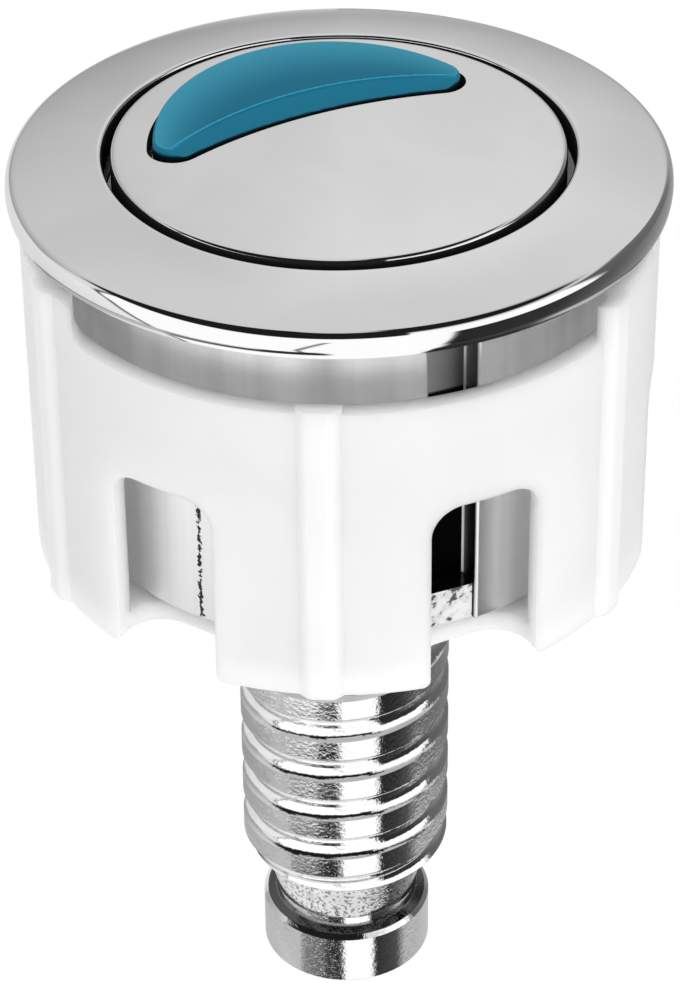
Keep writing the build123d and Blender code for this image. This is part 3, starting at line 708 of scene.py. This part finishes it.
from_channel = maths(grooved, "WRAP", maths(grooved, "ADD", round_barrel, CHANNEL_TURN), math.pi / 3, -math.pi / 3)
across = maths(grooved, "MULTIPLY", on_barrel.reach, maths(grooved, "SINE", from_channel))
# Painted shade: each channel floor shades from grey to dark across, and goes black below the lid's level.
channel_shade_grey = blend_colours(grooved, spread(grooved, across, -CHANNEL_HALF, CHANNEL_HALF), CHANNEL_SHADE_PALE, CHANNEL_SHADE_DARK)
painted_channel_shade = blend_colours(grooved, spread(grooved, on_barrel.height, *NEAR_LID), CHANNEL_SHADE_BLACK, channel_shade_grey)
# Painted highlight: a pale dull line along one inner corner of each channel.
off_corner = maths(grooved, "ABSOLUTE", maths(grooved, "SUBTRACT", across, CORNER_PLACE))
painted_corner_highlight = maths(grooved, "MULTIPLY", spread(grooved, off_corner, *CORNER_WIDTH),
                    spread(grooved, on_barrel.reach, *CHANNEL_FLOOR))
highlighted_channel = blend_colours(grooved, painted_corner_highlight, painted_channel_shade, CORNER_HIGHLIGHT_GREY)
barrel_colour = blend_colours(grooved, spread(grooved, on_barrel.reach, *BARREL_OUTSIDE), highlighted_channel, seamed_colour)
grooved.links.new(barrel_colour, barrel_shader.inputs["Base Color"])
grooved.links.new(maths(grooved, "MULTIPLY_ADD", painted_corner_highlight, -CORNER_DULLNESS, 1.0), barrel_shader.inputs["Metallic"])
dress(satin_plating, "barrel")

# %% [markdown]
# ## White plastic
# The nut is a milky plastic that lets light in a little way, so its edges glow softly: subsurface scattering gives
# that, where a plain white would look like chalk. The push rods and carriers inside are the same kind of plastic,
# seen only at the stem's end and round a pressed button, so a plainer finish serves.

# %% White plastic
milky_plastic, _, _ = finish_material(
    "milky_plastic", moulded,
    {"Grain Size": 4000.0, "Flow Size": 60.0, "Gloss": 0.34, "Gloss Change": 0.1},
    (0.84, 0.84, 0.84), (0.87, 0.87, 0.87), 0.08, 0.01,
    {"Subsurface Weight": 1.0, "Subsurface Radius": (1.0, 1.0, 1.0), "Subsurface Scale": 0.004})
rod_plastic, _, _ = finish_material(
    "rod_plastic", moulded,
    {"Grain Size": 4000.0, "Flow Size": 80.0, "Gloss": 0.4, "Gloss Change": 0.1},
    (0.78, 0.78, 0.77), (0.84, 0.84, 0.83), 0.08, 0.01, {})
dress(milky_plastic, "clamp_nut")
dress(rod_plastic, "full_carrier", "half_carrier", "full_push_tube", "half_push_pin")

# %% [markdown]
# ## Blue crescent
# The half flush button is tinted through. Its back edge is paler, a painted sheen, and the ridge above its front slope
# is a painted highlight; the front slope itself is darker, painted shade, and it is nearly black where it goes down
# into its opening, painted shade too. Masks by place and by slope paint these, since a clear plastic would show the
# white parts below it. The metal round it mirrors no blue, so the crescent is kept out of the reflections.

# %% Blue crescent
BACK_R, BACK_SHEEN_SPAN = 0.0133, (0.0062, -0.0006)
RIDGE_LEVEL_SIDE, RIDGE_STEEP_SIDE, FRONT_SLOPE = (0.978, 0.955), (0.9, 0.93), (0.86, 0.78)
OPENING_DEPTH, OPENING_STEEP = (0.0036, 0.0033), (0.6, 0.4)
BACK_SHEEN_BLUE, SLOPE_SHADE_BLUE = (0.038, 0.27, 0.385, 1), (0.013, 0.148, 0.24, 1)
RIDGE_HIGHLIGHT_BLUE, SHADED_BLUE = (0.036, 0.27, 0.4, 1), (0.001, 0.008, 0.012, 1)

blue_plastic, tinted, blue_shader = finish_material(
    "tinted_blue", moulded,
    {"Grain Size": 5000.0, "Flow Size": 90.0, "Gloss": 0.36, "Gloss Change": 0.08},
    (0.007, 0.13, 0.214), (0.008, 0.138, 0.226), 0.05, 0.01, {"Specular IOR Level": 0.05})
on_crescent = place_on_part(tinted)
level = facing_up(tinted)
along = maths(tinted, "MULTIPLY", on_crescent.x, on_crescent.x)
back_edge = maths(tinted, "SQRT", maths(tinted, "MAXIMUM", maths(tinted, "SUBTRACT", BACK_R**2, along), 0.0))
# Painted sheen: the back edge is paler, standing in for the brighter reflection there.
back_edge_sheen = spread(tinted, maths(tinted, "SUBTRACT", back_edge, on_crescent.y), *BACK_SHEEN_SPAN)
sheened_blue = blend_colours(tinted, back_edge_sheen, fed_by(blue_shader, "Base Color"), BACK_SHEEN_BLUE)
# Painted shade: the steeper front slope is darker.
slope_shaded_blue = blend_colours(tinted, spread(tinted, level, *FRONT_SLOPE), sheened_blue, SLOPE_SHADE_BLUE)
# Painted highlight: a paler line along the ridge above the front slope.
ridge_highlight = band(tinted, level, RIDGE_LEVEL_SIDE, RIDGE_STEEP_SIDE)
ridge_highlighted_blue = blend_colours(tinted, ridge_highlight, slope_shaded_blue, RIDGE_HIGHLIGHT_BLUE)
# Painted shade: nearly black where the crescent goes down into its opening.
opening_shade = maths(tinted, "MULTIPLY", spread(tinted, on_crescent.height, *OPENING_DEPTH),
                   spread(tinted, level, *OPENING_STEEP))
shown_blue = blend_colours(tinted, opening_shade, ridge_highlighted_blue, SHADED_BLUE)
tinted.links.new(shown_blue, blue_shader.inputs["Base Color"])
dress(blue_plastic, "half_button")
nodes["half_button"].visible_glossy = False

# %% [markdown]
# ## Return springs
# Each button comes back by a coil spring inside the barrel. A solid coil can't shorten when the button goes down, so
# each spring is drawn again here as a round wire on a helix. The wire's ends are closed coils, as on a real spring, so
# that it stands flat on its seats.

# %% Spring wire
STEPS_PER_COIL, WIRE_SIDES = 40, 10
CLOSED_SHARE = 0.08

spring_steel, _, _ = finish_material(
    "spring_steel", brushed,
    {"Lines": 6000.0, "Length": 30.0, "Gloss": 0.28, "Gloss Change": 0.12},
    (0.4, 0.4, 0.41), (0.5, 0.5, 0.51), 0.1, 0.005, {"Metallic": 1.0})


def coil_spring(name, radius, wire, low, high, coils):
    """A round wire on a helix between two heights, as a mesh tube."""
    steps = coils * STEPS_PER_COIL
    first, last = low + wire, high - wire
    corners, faces = [], []
    for i in range(steps + 1):
        wound = math.tau * coils * i / steps
        climb = min(max((i / steps - CLOSED_SHARE) / (1 - 2 * CLOSED_SHARE), 0.0), 1.0)
        middle = first + (last - first) * climb
        for k in range(WIRE_SIDES):
            round_wire = math.tau * k / WIRE_SIDES
            reach = radius + wire * math.cos(round_wire)
            corners.append((reach * math.cos(wound), reach * math.sin(wound), middle + wire * math.sin(round_wire)))
    for i in range(steps):
        for k in range(WIRE_SIDES):
            a, b = i * WIRE_SIDES + k, i * WIRE_SIDES + (k + 1) % WIRE_SIDES
            faces.append((a, b, b + WIRE_SIDES, a + WIRE_SIDES))
    faces.append(tuple(reversed(range(WIRE_SIDES))))
    faces.append(tuple(steps * WIRE_SIDES + k for k in range(WIRE_SIDES)))
    mesh = bpy.data.meshes.new(name)
    mesh.from_pydata(corners, [], faces)
    mesh.polygons.foreach_set("use_smooth", [True] * len(mesh.polygons))
    mesh.materials.append(spring_steel)
    spring = bpy.data.objects.new(name, mesh)
    scene.collection.objects.link(spring)
    print(name, "with", len(faces), "faces")
    return spring


# %% Springs
FULL_LOW, FULL_HIGH, FULL_TRAVEL = -0.02455, -0.0103, 0.007
HALF_LOW, HALF_HIGH, HALF_TRAVEL = -0.0088, -0.0001, 0.005

full_spring = coil_spring("full_spring_coil", 0.0092, 0.00045, FULL_LOW, FULL_HIGH, 6)
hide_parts("full_return_spring")
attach(full_spring, "housing")
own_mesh(full_spring)
half_spring = coil_spring("half_spring_coil", 0.0073, 0.00035, HALF_LOW, HALF_HIGH, 5)
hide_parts("half_return_spring")
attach(half_spring, "full")
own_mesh(half_spring)
